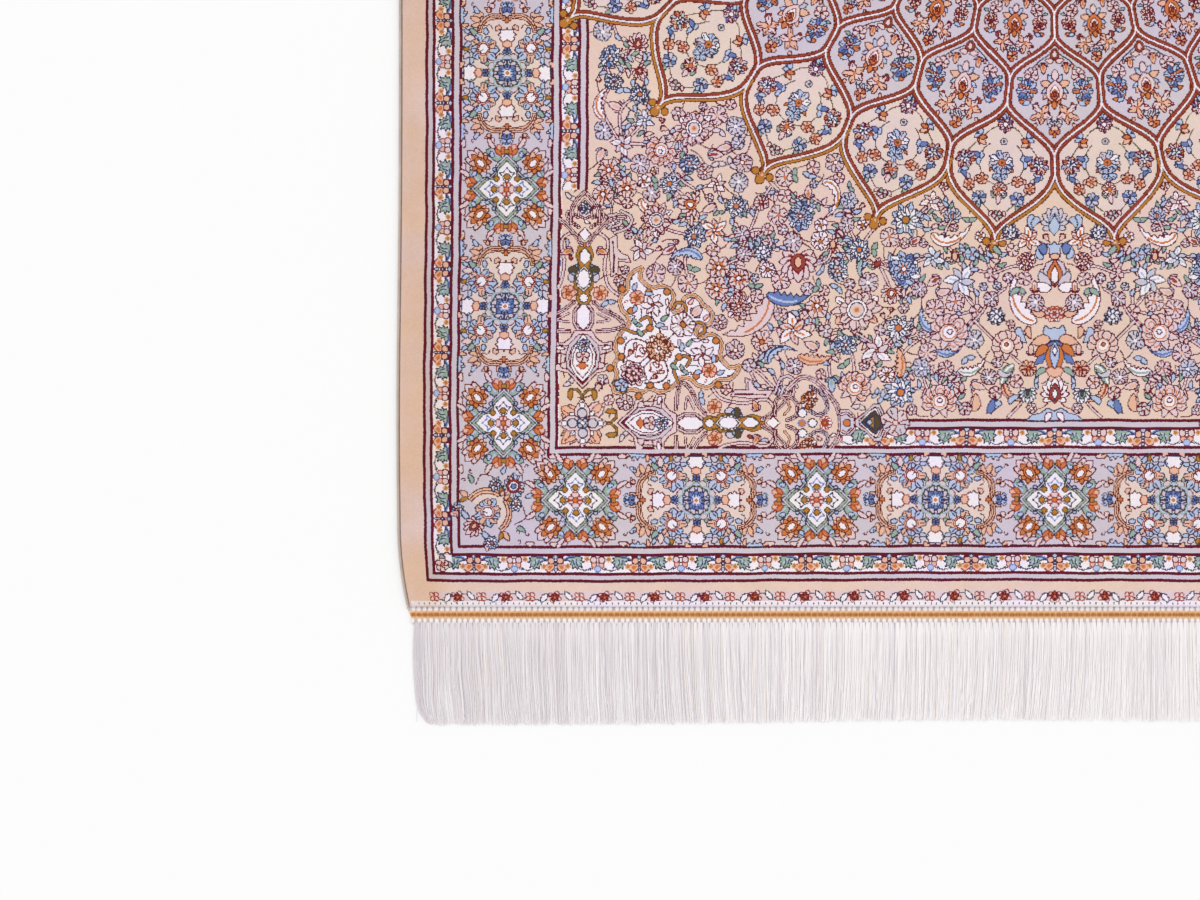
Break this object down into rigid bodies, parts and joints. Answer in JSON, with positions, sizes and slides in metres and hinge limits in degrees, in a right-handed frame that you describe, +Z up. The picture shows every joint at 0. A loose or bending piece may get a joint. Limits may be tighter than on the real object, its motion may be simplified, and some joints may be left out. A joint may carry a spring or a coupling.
{
  "type": "persian rug",
  "caption": "Flat hand-knotted rug with overcast sides, a flat-woven band at each end and a straight fringe of white warps.",
  "frame": {"origin": "on the floor, under the middle of the rug", "axes": "+Z up from the floor to the pile; +X across the rug's width; +Y along its length, from the end that the picture shows to the far one"},
  "size_m": [0.9998, 1.705, 0.0045],
  "materials": {
    "silk_pile": "cut silk pile, knotted in peach, lilac, ivory, wine red, rust, blue and green",
    "side_cord": "overcast silk cord, pale beige",
    "white_warps": "loose white silk warps below a flat-woven band with a gold line"
  },
  "bodies": {
    "root": {"knotted_pile": "silk_pile", "overcast_side_left": "side_cord", "overcast_side_right": "side_cord", "fringed_end_near": "white_warps", "fringed_end_far": "white_warps"}
  },
  "joints": []
}
